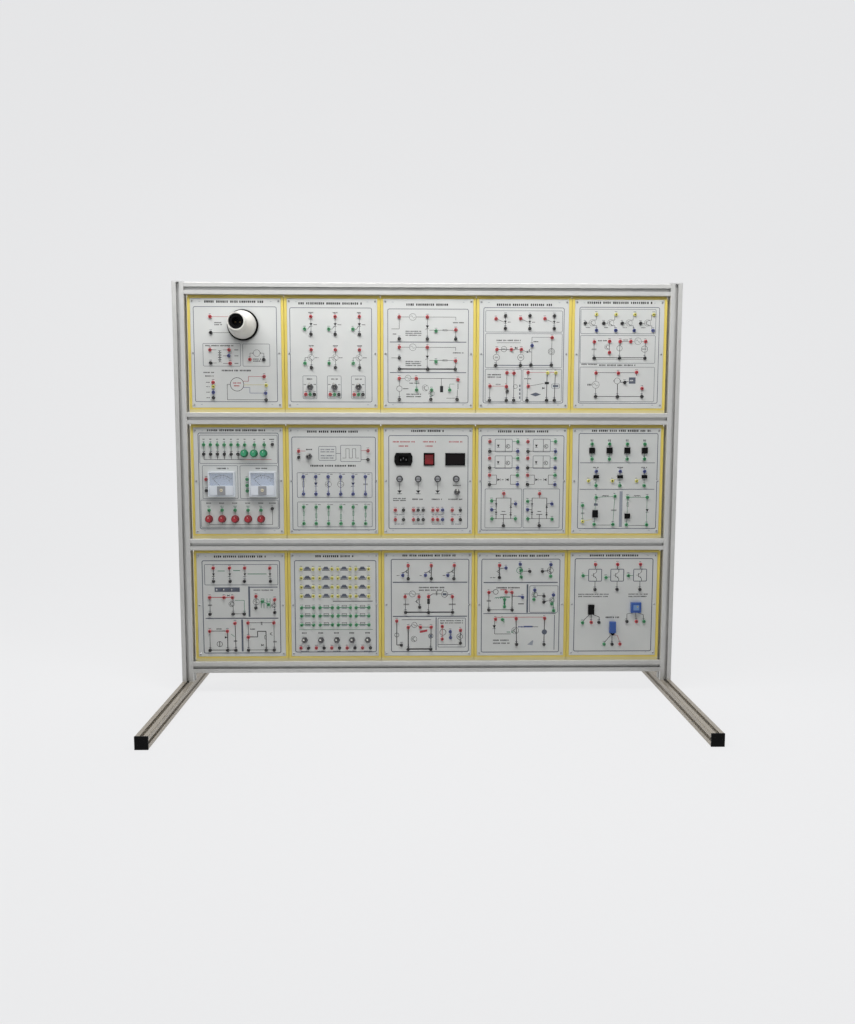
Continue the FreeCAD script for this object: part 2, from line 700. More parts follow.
def make_tray():
    """A tray with its plate's top left corner at the origin and its open side at Y = 0."""
    x = size.tray_width / 2 - size.plate_left
    z = size.plate_top - size.tray_height / 2
    tray = face_pad("tray", size.tray_width, size.tray_height, 0, size.tray_depth, x, z)
    inner_width = size.tray_width - 2 * size.rim_side
    inner_height = size.tray_height - size.rim_top - size.rim_bottom
    inner_x = size.plate_width / 2
    inner_z = -size.plate_height / 2
    deep = size.tray_depth - size.tray_back
    front_pocket(tray, inner_width, inner_height, 0, deep, inner_x, inner_z)
    bosses = new_sketch(tray, "XZ_Plane", -(size.tray_depth - size.tray_back))
    for spot in screw_spots():
        add_circle(bosses, size.boss_diameter, *spot)
    add_pad(tray, bosses, deep - size.plate_thickness)
    pilots = new_sketch(tray, "XZ_Plane", -size.plate_thickness)
    for spot in screw_spots():
        add_circle(pilots, size.screw_diameter + 2 * size.screw_clearance, *spot)
    add_pocket(tray, pilots, size.screw_length)
    tongue = size.slot_mouth - 2 * size.tongue_clearance
    across = -size.face_y
    for edge, reach, back in (
            (size.plate_top, size.lift_clearance + size.tongue_reach, False),
            (size.plate_top - size.tray_height, size.tongue_reach, True)):
        sketch = new_sketch(tray, "XY_Plane", edge)
        add_rectangle(sketch, size.tongue_length, tongue, x, across)
        add_pad(tray, sketch, reach, back=back)
    return tray


def make_plate_blank():
    """A front plate with its top left corner at the origin and its six screw holes."""
    x, z = size.plate_width / 2, -size.plate_height / 2
    blank = face_pad("plate_blank", size.plate_width, size.plate_height, 0,
                     size.plate_thickness, x, z)
    holes = new_sketch(blank, "XZ_Plane", 0)
    for spot in screw_spots():
        add_circle(holes, size.screw_diameter + 2 * size.hole_clearance, *spot)
    add_pocket(blank, holes)
    return blank


def make_screw():
    head = size.screw_head_diameter / 2
    shank = size.screw_diameter / 2
    return turned("plate_screw", [
        (0, -size.screw_head_height),
        (size.screw_crown_diameter / 2, -size.screw_head_height),
        (head, -size.screw_head_rim),
        (head, 0),
        (shank, 0),
        (shank, size.screw_length),
        (0, size.screw_length + size.screw_tip),
    ])


def every_panel():
    return [(row, column) for row in range(ROWS) for column in range(COLUMNS)]


def corner_vector(row, column):
    return panel_vector(row, column, 0.0, 0.0)


# Printed layouts. Each list holds X and Y of grid points, from the panel's top left corner.

def crossing(columns, rows):
    """Every point where the columns meet the rows."""
    return [(x, y) for y in rows for x in columns]


def line_of(x, y, pitch, count):
    """Points along one row at a steady pitch."""
    return [(x + pitch * index, y) for index in range(count)]


SUPPLY_PANEL = (1, 2)
METER_PANEL = (1, 0)
LAMP_PANEL = (0, 0)

SOCKETS = {
    (0, 0): {
        "red": [(50, 46), (48, 129), (96, 129), (98, 163), (148, 153), (54, 211), (183, 196)],
        "black": [(51, 86), (49, 162), (183, 153), (54, 250), (187, 255)],
        "yellow": [(54, 222), (188, 218)],
        "blue": [(95, 144), (54, 236), (186, 238)],
    },
    (0, 1): {
        "red": crossing((60, 121, 182), (45, 128)),
        "green": crossing((44, 105, 166), (76, 162)),
        "black": crossing((60, 121, 182), (89, 173)),
    },
    (0, 2): {
        "red": [(40, 45), (111, 45), (183, 77), (40, 121), (111, 121), (183, 155),
                (40, 200), (83, 200), (189, 203)],
        "green": [(133, 80), (133, 157), (84, 229), (122, 229), (168, 229)],
        "black": [(40, 100), (111, 100), (183, 100), (40, 148), (40, 176), (112, 176),
                  (182, 176), (40, 253), (120, 253), (187, 253)],
    },
    (0, 3): {
        "red": [(42, 49), (104, 48), (166, 48), (45, 126), (82, 126), (107, 126), (185, 96),
                (71, 185), (89, 186), (28, 219), (70, 220), (125, 184), (126, 219)],
        "yellow": [(175, 185), (196, 185)],
        "blue": [(134, 116)],
        "black": crossing((66, 128, 190), (41, 73)) + [
            (42, 166), (105, 166), (132, 165), (184, 165), (72, 232),
            (27, 255), (70, 255), (89, 255), (123, 255), (173, 255), (193, 255)],
    },
    (0, 4): {
        "black": line_of(26, 59, 47, 4) + [(50, 147), (115, 147), (180, 147), (130, 209),
                                           (56, 245), (112, 245), (175, 245)],
        "yellow": [(54, 37), (104, 37), (152, 37), (200, 37)],
        "blue": [(55, 77), (104, 77), (151, 77), (199, 77)],
        "red": [(50, 106), (89, 105), (116, 105), (143, 105), (181, 105), (89, 133),
                (56, 185), (113, 185), (160, 183), (175, 224)],
    },
    (1, 0): {
        "green": line_of(26, 44, 17.4, 7) + [(155, 44), (180, 44)] + line_of(36, 213, 33.3, 5),
        "black": line_of(26, 68, 17.4, 6) + [(201, 43), (198, 209)],
    },
    (1, 1): {
        "red": [(25, 60), (202, 59)],
        "black": [(25, 76), (202, 82)],
        "blue": crossing([36 + 31.8 * index for index in range(6)], (126, 171)),
        "green": crossing([36 + 31.8 * index for index in range(6)], (205, 248)),
    },
    (1, 2): {
        "red": crossing((29, 76, 126, 176), (213, 238)) + crossing((138,), (213, 238)),
        "black": crossing((50, 88, 101, 197), (213, 238)),
        "blue": crossing((151,), (213, 238)),
    },
    (1, 3): {
        "red": crossing((29, 127), (35, 78, 122)) + [(66, 170), (159, 170)],
        "black": crossing((29, 127), (60, 103, 146)) + [(66, 254), (159, 254)],
        "green": crossing((101, 198), (35, 78, 122)) + [
            (35, 189), (36, 236), (97, 236), (128, 190), (129, 236), (192, 237)],
        "blue": crossing((101, 198), (60, 103, 146)) + [
            (35, 212), (97, 197), (128, 212), (191, 197)],
    },
    (1, 4): {
        "green": crossing((50, 95, 141, 186), (41, 80)) + crossing((62, 124, 187), (149,)) + [
            (63, 180), (112, 177), (28, 201), (59, 251), (108, 251),
            (145, 180), (196, 180), (143, 252), (196, 252)],
        "blue": crossing((62, 124, 187), (112,)),
        "yellow": crossing((42, 104, 167), (137,)) + [(29, 243)],
    },
    (2, 0): {
        "red": [(43, 39), (85, 39), (124, 39), (189, 39), (32, 117), (69, 117), (91, 117),
                (152, 114), (200, 123), (96, 186), (30, 207), (76, 207), (130, 185),
                (197, 185), (130, 223)],
        "black": [(43, 74), (86, 74), (123, 74), (190, 74), (32, 161), (92, 161), (121, 161),
                  (151, 145), (200, 157), (30, 258), (76, 258), (97, 258), (130, 258),
                  (176, 258), (197, 258)],
        "green": [(168, 128), (184, 136)],
    },
    (2, 1): {
        "yellow": crossing((27, 58, 75, 107, 122, 154, 169, 202), (42, 66, 90, 114)),
        "green": crossing((27, 58, 75, 107, 122, 154, 169, 202), (145, 167, 191)),
        "red": line_of(24, 253, 40.2, 5),
        "black": line_of(44, 253, 40.4, 5),
    },
    (2, 2): {
        "red": crossing((62, 122, 182), (33,)) + [
            (54, 116), (90, 116), (115, 116), (177, 116), (32, 181), (62, 198), (94, 198),
            (122, 198), (151, 196), (199, 206), (151, 230)],
        "blue": crossing((48, 107, 165), (59,)) + [(172, 210), (173, 226)],
        "black": crossing((62, 122, 181), (68,)) + [
            (92, 144), (55, 158), (115, 158), (178, 158), (44, 246), (62, 257), (121, 257),
            (199, 241)],
    },
    (2, 3): {
        "red": [(57, 33), (30, 105), (75, 104), (90, 105), (48, 177), (102, 176), (177, 175)],
        "blue": [(74, 40), (111, 30), (191, 31), (118, 118), (150, 99), (199, 112)],
        "black": [(57, 65), (136, 49), (169, 49), (30, 152), (91, 152), (174, 115), (174, 131),
                  (104, 245), (176, 245)],
        "green": [(113, 46), (114, 64), (191, 62), (71, 124), (71, 143), (148, 124),
                  (195, 136), (200, 154), (66, 178)],
    },
    (2, 4): {
        "red": crossing((65, 123, 183), (31,)) + [(57, 186), (176, 184), (134, 245)],
        "green": [(33, 61), (93, 66), (152, 61), (34, 187), (196, 184), (92, 245)],
        "black": crossing((65, 123, 183), (98,)) + [(77, 186), (151, 184), (113, 245)],
    },
}

SOCKET_COLOURS = ("red", "black", "green", "yellow", "blue")

# Toggle switches: row and column of the panel, grid point
TOGGLES = (
    [(0, 1, x, 222) for x in (56, 118, 179)]
    + [(1, 1, 51, 74), (1, 2, 188, 166)]
    + [(2, 1, x, 232) for x in (34, 77, 118, 158, 199)]
)
TOGGLE_SOCKET_PANEL = (0, 1)
TOGGLE_SOCKET_DROP = 19.0
TOGGLE_SOCKET_PITCH = 11.0

METERS = ((71.0, 145.0), (175.5, 145.0))
METER_NAMES = ("left", "right")
METER_SOCKET_GAP = 7.0
GREEN_KNOBS = ((129.0, 66.0), (153.5, 66.0), (178.0, 66.0))
RED_KNOBS = tuple(line_of(36.0, 236.0, 33.3, 5))
FUSES = ((40.0, 132.0), (88.0, 132.0), (138.0, 132.0), (186.0, 132.0))
INLET = (50.0, 81.0)
ROCKER = (116.0, 81.0)
DISPLAY = (183.0, 81.0)
TRANSFORMER = (116.0, 160.0)
LAMP = (132.0, 67.0)

# Devices on the plates: row, column, grid point, width and height
BLACK_DEVICES = (
    [(1, 4, x, 58, 15.0, 15.0) for x in (50, 95, 141, 186)]
    + [(1, 4, x, 126, 14.0, 8.5) for x in (62, 124, 187)]
    + [(1, 4, 61, 223, 14.0, 19.0), (1, 4, 145, 229, 14.0, 13.0), (2, 4, 56, 152, 16.0, 26.0)]
)
BLUE_SENSORS = ((2, 4, 173, 146, 27.0, 27.0), (2, 4, 113, 199, 16.5, 30.0))


def socket_points(colour):
    """Every socket of one colour, as points on the plates' front."""
    points = []
    for (row, column), colours in SOCKETS.items():
        for x, y in colours.get(colour, ()):
            points.append(panel_vector(row, column, x, y))
    points += toggle_socket_points(colour)
    points += meter_socket_points(colour)
    return points


def toggle_socket_points(colour):
    """Three sockets under each toggle switch of the switch panel."""
    side = {"red": -1, "green": 0, "black": 1}.get(colour)
    points = []
    for row, column, x, y in TOGGLES:
        if side is not None and (row, column) == TOGGLE_SOCKET_PANEL:
            right = side * TOGGLE_SOCKET_PITCH
            points.append(panel_vector(row, column, x, y, right, -TOGGLE_SOCKET_DROP))
    return points


def meter_socket_points(colour):
    """Sockets along the left edge of each analogue meter."""
    heights = {"left": {"red": (12,), "black": (-17,)}, "right": {"green": (12, -4, -18)}}
    aside = -(size.meter_width / 2 + METER_SOCKET_GAP)
    points = []
    for name, (x, y) in zip(METER_NAMES, METERS):
        for up in heights[name].get(colour, ()):
            points.append(panel_vector(*METER_PANEL, x, y, aside, up))
    return points


# Pieces on the plates. Each is made in a panel's own frame: Y = 0 is the plate's front.

def make_socket():
    bore = size.socket_bore / 2
    head = size.socket_head_diameter / 2
    shank = size.socket_shank_diameter / 2
    return turned("one_socket", [
        (bore, -size.socket_head_height),
        (head - size.socket_chamfer, -size.socket_head_height),
        (head, -size.socket_head_height + size.socket_chamfer),
        (head, 0),
        (shank, 0),
        (shank, size.board_front),
        (0, size.board_front),
        (0, size.socket_bore_depth - size.socket_head_height),
        (bore, size.socket_bore_depth - size.socket_head_height),
    ])


def hexagon_nut(label, width, height, bore):
    """A hexagon nut in front of the plate."""
    nut = new_body(label)
    sketch = new_sketch(nut, "XZ_Plane")
    corner = width / math.sqrt(3)
    points = []
    for index in range(6):
        angle = math.radians(60 * index)
        points.append((corner * math.cos(angle), corner * math.sin(angle)))
    add_outline(sketch, points)
    add_circle(sketch, bore)
    add_pad(nut, sketch, height)
    return nut


def make_potentiometer():
    """Case and bushing, with the nut as a piece of its own."""
    bearing = size.shaft_diameter / 2 + size.running_clearance
    bushing = size.pot_bushing_diameter / 2
    front = -size.pot_nut_height - size.pot_bushing_reach
    back = size.plate_thickness + size.pot_depth
    well = back - size.pot_floor
    case = turned("pot_case", [
        (bearing, front),
        (bushing, front),
        (bushing, size.plate_thickness),
        (size.pot_diameter / 2, size.plate_thickness),
        (size.pot_diameter / 2, back),
        (0, back),
        (0, well),
        (bearing, well),
    ])
    thread = size.pot_bushing_diameter + 2 * size.running_clearance
    nut = hexagon_nut("pot_nut", size.pot_nut_width, size.pot_nut_height, thread)
    return case, nut


KNOB_FLUTES = 12


def make_knob():
    """A fluted knob, and the shaft that turns with it."""
    skirt = size.knob_diameter / 2
    grip = size.knob_grip_diameter / 2
    base = -size.knob_gap
    top = base - size.knob_height
    slope = base - size.knob_skirt_height - size.knob_skirt_slope
    recess = size.pot_nut_width / math.sqrt(3) + size.knob_nut_gap
    roof = -size.pot_nut_height - size.pot_bushing_reach - size.knob_roof_gap
    bore = size.shaft_diameter / 2 + size.running_clearance / 2
    shaft_end = top + size.knob_top_thickness
    knob = turned("knob", [
        (recess, base),
        (skirt, base),
        (skirt, base - size.knob_skirt_height),
        (grip, slope),
        (grip - size.knob_draft, top + size.knob_crown_chamfer),
        (size.knob_crown_diameter / 2, top),
        (0, top),
        (0, shaft_end),
        (bore, shaft_end),
        (bore, roof),
        (recess, roof),
    ])
    flute = new_sketch(knob, "XZ_Plane", -slope)
    add_circle(flute, 2 * size.knob_flute, 0, grip + size.knob_flute - size.knob_flute_depth)
    pocket = add_pocket(knob, flute, towards_normal=True)
    add_polar(knob, pocket, flute, "N_Axis", KNOB_FLUTES)
    tail = size.plate_thickness + size.pot_depth - size.pot_floor - size.shaft_end_gap
    shaft = turned("knob_shaft", [
        (0, shaft_end),
        (size.shaft_diameter / 2, shaft_end),
        (size.shaft_diameter / 2, tail),
        (0, tail),
    ])
    return knob, shaft


def make_toggle_body():
    """Case, bushing and nut of a toggle switch. The lever's ball sits in the bushing."""
    bushing = size.toggle_bushing_diameter / 2
    bearing = size.toggle_ball_diameter / 2 + size.running_clearance
    mouth = -size.toggle_bushing_height
    mouth_radius = bushing - size.toggle_bushing_wall
    body = face_pad("toggle_case", size.toggle_case_width, size.toggle_case_height,
                    size.plate_thickness, size.plate_thickness + size.toggle_case_depth)
    sleeve = new_sketch(body, "XY_Plane")
    add_outline(sleeve, [
        (0, mouth),
        (bushing, mouth),
        (bushing, size.plate_thickness + size.cut_margin),
        (0, size.plate_thickness + size.cut_margin),
    ])
    add_revolution(body, sleeve)
    hollow = new_sketch(body, "XY_Plane")
    add_outline(hollow, [
        (0, mouth - size.cut_margin),
        (mouth_radius, mouth - size.cut_margin),
        (mouth_radius, mouth),
        (bearing, mouth + size.toggle_cone_depth),
        (bearing, size.toggle_well_depth),
        (0, size.toggle_well_depth),
    ])
    before = body.Shape.Volume
    groove = body.newObject("PartDesign::Groove", "groove")
    groove.Profile = hollow
    groove.ReferenceAxis = (hollow, ["V_Axis"])
    groove.Angle = 360
    doc.recompute()
    if body.Shape.Volume >= before:
        raise RuntimeError("the toggle bushing has no bore")
    thread = size.toggle_bushing_diameter + 2 * size.running_clearance
    nut = hexagon_nut("toggle_nut", size.toggle_nut_width, size.toggle_nut_height, thread)
    return body, nut


def make_toggle_lever():
    """A lever pointing along -Y, with the centre of its ball at the origin."""
    ball = size.toggle_ball_diameter / 2
    root = size.toggle_root_diameter / 2
    tip = size.toggle_tip_diameter / 2
    length = size.toggle_lever_length
    tail = size.toggle_tail_diameter / 2
    end = ball + size.toggle_tail_length
    lever = turned("toggle_bat", [
        (0, -length),
        (size.toggle_tip_face / 2, -length),
        (tip, -length + size.toggle_tip_round),
        (tip, -length + size.toggle_tip_length),
        (root, -ball),
        (root, 0),
        (tail, 0),
        (tail, end),
        (0, end),
    ])
    sketch = new_sketch(lever, "XY_Plane")
    arc = Part.ArcOfCircle(Part.Circle(vector(0, 0), vector(0, 0, 1), float(ball)),
                           -math.pi / 2, math.pi / 2)
    sketch.addGeometry(arc, False)
    sketch.addGeometry(Part.LineSegment(vector(0, ball), vector(0, -ball)), False)
    sketch.addConstraint(Sketcher.Constraint("Coincident", 0, 2, 1, 1))
    sketch.addConstraint(Sketcher.Constraint("Coincident", 1, 2, 0, 1))
    sketch.addConstraint(Sketcher.Constraint("Coincident", 0, 3, -1, 1))
    sketch.addConstraint(Sketcher.Constraint("PointOnObject", 0, 1, -2))
    index = sketch.addConstraint(Sketcher.Constraint("Radius", 0, float(ball)))
    sketch.setExpression("Constraints[%d]" % index, ball.formula)
    add_revolution(lever, sketch)
    return lever


def make_fuse_holder():
    """Sleeve with a flange in front, and the ring nut behind the plate."""
    sleeve = size.fuse_sleeve_diameter / 2
    flange = size.fuse_flange_diameter / 2
    back = size.fuse_sleeve_depth
    body = turned("fuse_sleeve", [
        (size.fuse_bore / 2, -size.fuse_flange_height),
        (flange - size.fuse_edge, -size.fuse_flange_height),
        (flange, -size.fuse_flange_height + size.fuse_edge),
        (flange, 0),
        (sleeve, 0),
        (sleeve, back),
        (0, back),
        (0, back - size.fuse_sleeve_end),
        (size.fuse_bore / 2, back - size.fuse_sleeve_end),
    ])
    ring_bore = sleeve + size.running_clearance
    ring_radius = size.fuse_ring_diameter / 2
    ring = turned("fuse_ring", [
        (ring_bore, size.plate_thickness),
        (ring_radius, size.plate_thickness),
        (ring_radius, size.plate_thickness + size.fuse_ring_height),
        (ring_bore, size.plate_thickness + size.fuse_ring_height),
    ])
    return body, ring


def make_fuse_cap():
    """A slotted cap, and the glass fuse that comes out with it."""
    cap = size.fuse_cap_diameter / 2
    stem = size.fuse_bore / 2 - size.running_clearance
    grip = size.fuse_diameter / 2 + size.running_clearance
    base = -size.fuse_flange_height - size.fuse_cap_gap
    top = base - size.fuse_cap_height
    seat = size.fuse_sleeve_depth - size.fuse_sleeve_end - size.fuse_end_gap - size.fuse_length
    body = turned("fuse_cap", [
        (0, top),
        (cap - size.fuse_cap_edge, top),
        (cap, top + size.fuse_cap_edge),
        (cap, base),
        (stem, base),
        (stem, size.fuse_stem_end),
        (grip, size.fuse_stem_end),
        (grip, seat),
        (0, seat),
    ])
    slot = new_sketch(body, "XZ_Plane", -top)
    add_rectangle(slot, size.fuse_slot_length, size.fuse_slot_width)
    add_pocket(body, slot, size.fuse_slot_depth)
    fuse = turned("glass_fuse", [
        (0, seat),
        (size.fuse_diameter / 2, seat),
        (size.fuse_diameter / 2, seat + size.fuse_length),
        (0, seat + size.fuse_length),
    ])
    return body, fuse


def make_rocker_frame():
    """Bezel and hollow body of the rocker switch, with its two pivot holes."""
    width, height = size.rocker_bezel_width, size.rocker_bezel_height
    step = 2 * size.rocker_frame_step
    frame = face_pad("rocker_bezel", width, height, -size.rocker_bezel_thickness, 0)
    body = new_sketch(frame, "XZ_Plane")
    add_rectangle(body, width - step, height - step)
    add_pad(frame, body, size.rocker_depth, back=True)
    deep = size.rocker_depth + size.rocker_bezel_thickness - size.rocker_floor
    front_pocket(frame, size.rocker_inner_width, size.rocker_inner_height,
                 -size.rocker_bezel_thickness, deep)
    pivot = new_sketch(frame, "YZ_Plane")
    hole = size.rocker_pin_diameter + 2 * size.running_clearance
    add_circle(pivot, hole, size.rocker_pivot_depth, 0)
    add_pocket(frame, pivot, side="Symmetric")
    return frame


def make_rocker_button():
    """A button with a shallow V front, its pivot at the origin, seen before it is tilted."""
    button = new_body("rocker_wedge")
    half = size.rocker_inner_height / 2 - size.rocker_end_gap
    depth = size.rocker_pivot_depth
    width = size.rocker_inner_width - 2 * size.rocker_side_gap
    sketch = new_sketch(button, "YZ_Plane")
    upper = [
        (-depth - size.rocker_proud, half),
        (size.rocker_tail_edge, half),
        (size.rocker_tail_depth, size.rocker_tail_height / 2),
    ]
    lower = [(y, -z) for y, z in reversed(upper)]
    add_outline(sketch, upper + lower + [(-depth - size.rocker_valley, 0)])
    add_pad(button, sketch, width, "Symmetric")
    pin = new_sketch(button, "YZ_Plane")
    add_circle(pin, size.rocker_pin_diameter)
    add_pad(button, pin, size.rocker_inner_width + 2 * size.rocker_pin_reach, "Symmetric")
    return button


def make_inlet():
    """Flanged mains inlet with its three contact blades."""
    quarter = [(size.inlet_width / 2, size.inlet_side_height / 2),
               (size.inlet_top_width / 2, size.inlet_height / 2)]
    right = [(x, -z) for x, z in reversed(quarter)] + quarter
    outline = right + [(-x, z) for x, z in reversed(right)]
    inlet = new_body("inlet_flange")
    sketch = new_sketch(inlet, "XZ_Plane")
    add_outline(sketch, outline)
    add_pad(inlet, sketch, size.inlet_flange)
    body = new_sketch(inlet, "XZ_Plane")
    add_rectangle(body, size.inlet_body_width, size.inlet_body_height)
    add_pad(inlet, body, size.inlet_depth, back=True)
    deep = size.inlet_flange + size.inlet_depth - size.inlet_floor
    front_pocket(inlet, size.inlet_cavity_width, size.inlet_cavity_height,
                 -size.inlet_flange, deep)
    for side in (-1, 1):
        hole = size.screw_diameter + 2 * size.hole_clearance
        front_bore(inlet, hole, -size.inlet_flange, size.inlet_flange,
                   side * size.inlet_screw_pitch / 2)
    floor = size.inlet_depth - size.inlet_floor
    spots = ((-size.inlet_pin_pitch, -size.inlet_pin_offset),
             (size.inlet_pin_pitch, -size.inlet_pin_offset),
             (Size.of(0), size.inlet_pin_offset))
    blades = []
    for index, (x, z) in enumerate(spots):
        blades.append(face_pad("inlet_blade_%d" % index, size.inlet_pin_width,
                               size.inlet_pin_height, floor - size.inlet_pin_length, floor, x, z))
    return inlet, blades


def make_display():
    """Housing of the digital display and its window."""
    width, height = size.display_width, size.display_height
    step = 2 * size.display_step
    housing = face_pad("display_bezel", width, height, -size.display_bezel, 0)
    body = new_sketch(housing, "XZ_Plane")
    add_rectangle(body, width - step, height - step)
    add_pad(housing, body, size.display_depth, back=True)
    border = 2 * size.display_border
    front_pocket(housing, width - border, height - border, -size.display_bezel,
                 size.display_window_thickness + size.display_window_inset)
    gap = 2 * size.window_clearance
    floor = size.display_window_thickness + size.display_window_inset - size.display_bezel
    window = face_pad("display_glass", width - border - gap, height - border - gap,
                      floor - size.display_window_thickness, floor)
    return housing, window


def make_meter():
    """Case, dial and window of an analogue meter."""
    width, height, wall = size.meter_width, size.meter_height, size.meter_wall
    front = -size.meter_front
    case = face_pad("meter_case", width, height, front, 0)
    barrel = new_sketch(case, "XZ_Plane")
    add_circle(barrel, size.meter_barrel_diameter)
    add_pad(case, barrel, size.meter_barrel_depth, back=True)
    mouth_width, mouth_height = width - 2 * wall, height - 2 * wall
    front_pocket(case, mouth_width, mouth_height, front, size.meter_window_thickness)
    ledge = 2 * size.meter_ledge
    inner_width, inner_height = mouth_width - ledge, mouth_height - ledge
    front_pocket(case, inner_width, inner_height, front, size.meter_front - wall)
    front_bore(case, size.meter_barrel_diameter - 2 * wall, -wall,
               size.meter_barrel_depth + wall - size.meter_barrel_end)
    bearing = size.spindle_diameter + 2 * size.running_clearance
    front_bore(case, bearing, size.meter_barrel_depth - size.meter_barrel_end,
               size.meter_barrel_end, 0, -size.meter_pivot_drop)
    gap = 2 * size.window_clearance
    dial = face_pad("meter_dial", inner_width - gap, inner_height - gap,
                    -wall - size.meter_dial_thickness, -wall)
    front_bore(dial, size.meter_dial_hole, -wall - size.meter_dial_thickness, size.meter_dial_thickness,
               0, -size.meter_pivot_drop)
    window = face_pad("meter_glass", mouth_width - gap, mouth_height - gap, front,
                      front + size.meter_window_thickness)
    return case, dial, window


def make_needle():
    """Needle pointing up from the origin, on its spindle, with the moving coil behind."""
    dial_front = -size.meter_wall - size.meter_dial_thickness
    back = dial_front - size.needle_gap
    front = back - size.needle_thickness
    tail = size.meter_barrel_depth - size.spindle_inset
    hub = size.needle_hub_diameter / 2
    spindle = turned("needle_spindle", [
        (0, front - size.needle_hub_height),
        (hub, front - size.needle_hub_height),
        (hub, back),
        (size.spindle_diameter / 2, back),
        (size.spindle_diameter / 2, tail),
        (0, tail),
    ])
    pointer = new_sketch(spindle, "XZ_Plane", -back)
    root, tip = size.needle_width / 2, size.needle_tip_width / 2
    right = [(root, -size.needle_tail), (root, 0), (tip, size.needle_length)]
    add_outline(pointer, right + [(-x, z) for x, z in reversed(right)])
    add_pad(spindle, pointer, size.needle_thickness)
    coil = new_sketch(spindle, "XZ_Plane", -size.coil_back)
    add_rectangle(coil, size.coil_side, size.coil_side)
    add_pad(spindle, coil, size.coil_depth)
    return spindle


def make_lamp_holder():
    """Base with its column and lamp bore, and the two spring contacts."""
    base = size.lamp_base_diameter / 2
    column = size.lamp_column_diameter / 2
    bore = size.lamp_bore / 2
    well = size.lamp_well_diameter / 2
    top = -size.lamp_column_height
    ledge = top + size.lamp_bore_depth
    floor = ledge + size.plunger_height + size.lamp_well_margin
    body = turned("lamp_base", [
        (0, 0),
        (base, 0),
        (base, -size.lamp_base_height + size.lamp_base_chamfer),
        (base - size.lamp_base_chamfer, -size.lamp_base_height),
        (column, -size.lamp_base_height),
        (column, top),
        (bore, top),
        (bore, ledge),
        (well, ledge),
        (well, floor),
        (0, floor),
    ])
    radius = size.plunger_diameter / 2
    tip = floor - size.plunger_height
    contacts = []
    for name, side in (("left", -1), ("right", 1)):
        plunger = turned("plunger_" + name, [
            (0, tip),
            (radius - size.plunger_chamfer, tip),
            (radius, tip + size.plunger_chamfer),
            (radius, floor),
            (0, floor),
        ])
        place(plunger, side * size.plunger_pitch / 2, 0, 0)
        contacts.append(plunger)
    return body, contacts


def make_lamp_shell():
    """The white shell: a domed foot on the base disc that runs into a straight collar."""
    wall = size.lamp_shell_wall
    foot, collar = size.lamp_shell_foot / 2, size.lamp_shell_mouth / 2
    seat, shoulder = -size.lamp_base_height, -size.lamp_shell_shoulder
    top = -size.lamp_shell_height
    inner_foot, inner_collar = foot - wall, collar - wall
    corners = [
        (foot, seat), (collar, shoulder), (collar, top), (inner_collar, top),
        (inner_collar, shoulder), (inner_foot, seat),
    ]
    shell = new_body("lamp_dome")
    sketch = new_sketch(shell, "XY_Plane")
    count = len(corners)
    arcs = {0: size.lamp_dome_radius, 4: size.lamp_dome_radius - wall}
    for index in range(count):
        start, end = vector(*corners[index]), vector(*corners[(index + 1) % count])
        if index in arcs:
            sketch.addGeometry(bulged_arc(start, end, float(arcs[index])), False)
        else:
            sketch.addGeometry(Part.LineSegment(start, end), False)
    # An arc runs anticlockwise, so its first point is the lower corner of its pair.
    ends = {index: (1, 2) for index in range(count)}
    for index in arcs:
        start = vector(*corners[index])
        if sketch.getPoint(index, 1).distanceToPoint(start) > 1e-6:
            ends[index] = (2, 1)
    for index in range(count):
        after = (index + 1) % count
        sketch.addConstraint(Sketcher.Constraint("Coincident", index, ends[index][1],
                                                 after, ends[after][0]))
        fix_point(sketch, index, ends[index][0], *corners[index])
    for index, radius in arcs.items():
        number = sketch.addConstraint(Sketcher.Constraint("Radius", index, radius.number))
        sketch.setExpression("Constraints[%d]" % number, radius.formula)
    add_revolution(shell, sketch)
    return shell


def bulged_arc(start, end, radius):
    """An arc between two points that bulges away from the axis and towards the viewer."""
    middle = (start + end) * 0.5
    chord = end - start
    across = FreeCAD.Vector(chord.y, -chord.x, 0)
    across.normalize()
    if across.x < 0:
        across = across * -1
    rise = radius - math.sqrt(radius * radius - chord.Length * chord.Length / 4)
    return Part.Arc(start, middle + across * rise, end)


def make_transformer():
    """Ring transformer on a tray's back: winding, clamp disc and bolt. Y = 0 is that back."""
    ring = size.toroid_diameter / 2
    bore = size.toroid_bore / 2
    height = size.toroid_height
    bolt = size.toroid_bolt_diameter / 2
    clamp = size.toroid_clamp_thickness
    inner, outer = size.toroid_bore_chamfer, size.toroid_rim_chamfer
    winding = turned("toroid_winding", [
        (bore, -inner), (bore + inner, 0), (ring - outer, 0), (ring, -outer),
        (ring, -height + outer), (ring - outer, -height),
        (bore + inner, -height), (bore, -height + inner),
    ])
    disc = turned("toroid_disc", [
        (bolt + size.hole_clearance, -height),
        (size.toroid_clamp_diameter / 2, -height),
        (size.toroid_clamp_diameter / 2, -height - clamp),
        (bolt + size.hole_clearance, -height - clamp),
    ])
    head = size.toroid_head_diameter / 2
    crown = -height - clamp - size.toroid_head_height
    stud = turned("toroid_bolt", [
        (0, 0), (bolt, 0), (bolt, -height - clamp), (head, -height - clamp),
        (head, crown), (0, crown),
    ])
    return winding, disc, stud


def device_block(width, height, out):
    """A small block on a plate's front with a chamfer round its face."""
    block = Part.makeBox(width, float(out), height, vector(-width / 2, -float(out), -height / 2))
    face_edges = [edge for edge in block.Edges if edge.BoundBox.YMax < -float(out) + 0.01]
    return block.makeChamfer(float(size.device_chamfer), face_edges)


# Assembly

